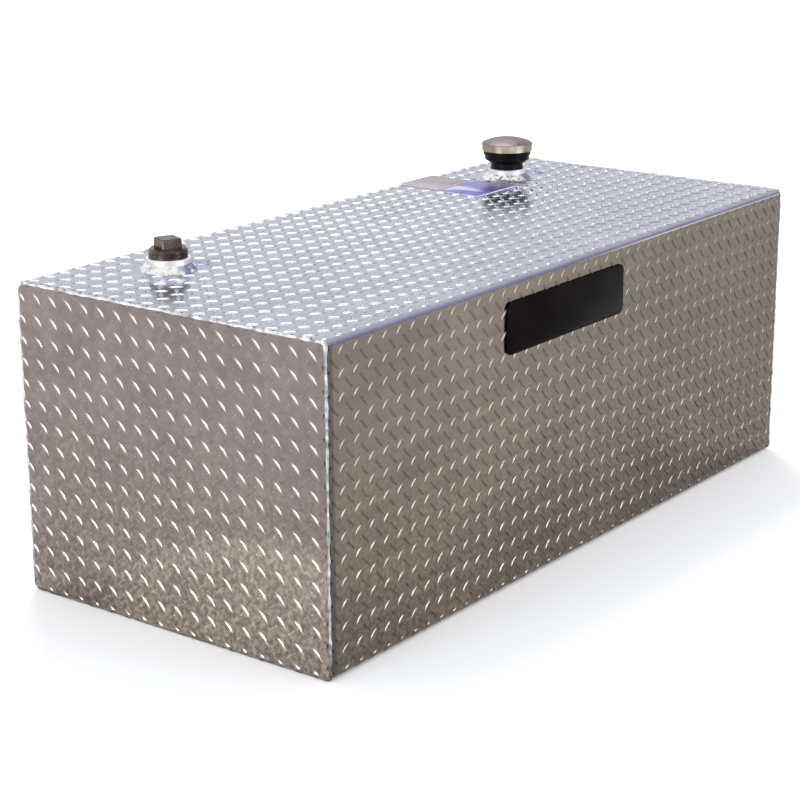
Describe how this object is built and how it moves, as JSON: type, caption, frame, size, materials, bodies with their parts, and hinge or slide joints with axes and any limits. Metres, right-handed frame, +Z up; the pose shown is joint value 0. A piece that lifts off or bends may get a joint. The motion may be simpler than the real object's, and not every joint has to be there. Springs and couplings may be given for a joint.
{
  "type": "truck bed transfer tank",
  "caption": "Rectangular fuel transfer tank welded from diamond pattern aluminium plate, with a vented screw cap on a filler neck and a square head plug in a second neck.",
  "frame": {"origin": "middle of the flat underside", "axes": "+X along the tank towards the filler cap, -Y the front with the badge, +Z up"},
  "size_m": [1.3218, 0.6068, 0.5753],
  "materials": {
    "tread_plate": "bright diamond pattern plate",
    "weld_bead": "rippled bright weld",
    "plain_aluminium": "machined",
    "baffle_plate": "mill finish",
    "dark_iron": "as cast, dark brown",
    "black_pipe": "black",
    "black_moulding": "satin black moulding",
    "yellow_zinc": "yellow zinc plated pressing",
    "black_rubber": "matte",
    "white_plastic": "moulded",
    "spring_steel": "bright wire",
    "grey_foam": "foam",
    "badge_black": "gloss black, bare",
    "thin_plate": "smooth bare plate"
  },
  "bodies": {
    "root": {"wrapper_sheet": "tread_plate", "left_end_panel": "tread_plate", "right_end_panel": "tread_plate", "wrapper_seam_weld": "weld_bead", "left_end_weld": "weld_bead", "right_end_weld": "weld_bead", "plug_bung_weld": "weld_bead", "filler_bung_weld": "weld_bead", "left_baffle_stitches": "weld_bead", "right_baffle_stitches": "weld_bead", "left_baffle": "baffle_plate", "right_baffle": "baffle_plate", "plug_bung": "plain_aluminium", "filler_bung": "plain_aluminium", "filler_pipe": "black_pipe", "badge_pad": "grey_foam", "rear_plate_pad": "grey_foam", "front_plate_pad": "grey_foam", "badge": "badge_black", "rear_plate": "thin_plate", "front_plate": "thin_plate"},
    "plug": {"pipe_plug": "dark_iron"},
    "cap_seal": {"cap_gasket": "black_rubber"},
    "cap": {"cap_body": "black_moulding", "cap_cover": "yellow_zinc", "vent_filter": "grey_foam", "vent_spring": "spring_steel"},
    "vent": {"vent_valve": "white_plastic", "vent_seal": "black_rubber", "vent_retainer": "spring_steel"}
  },
  "joints": [
    {"name": "plug_lift", "type": "slide", "parent": "root", "child": "plug", "axis": [0, 0, 1], "range_m": [0, 0.04]},
    {"name": "cap_lift", "type": "slide", "parent": "root", "child": "cap_seal", "axis": [0, 0, 1], "range_m": [0, 0.01105]},
    {"name": "cap_turn", "type": "hinge", "parent": "cap_seal", "child": "cap", "pos_m": [0.4634, 0.172, 0.5514], "axis": [0, 0, 1], "range_deg": [0, 1800]},
    {"name": "vent_open", "type": "slide", "parent": "cap", "child": "vent", "axis": [0, 0, -1], "range_m": [0, 0.002], "stiffness_N_per_m": 200, "springref_m": -0.004, "deforming": ["vent_spring"]}
  ],
  "couplings": [
    {"joint": "cap_lift", "follows": "cap_turn", "m_per_rad": 0.00035157}
  ]
}
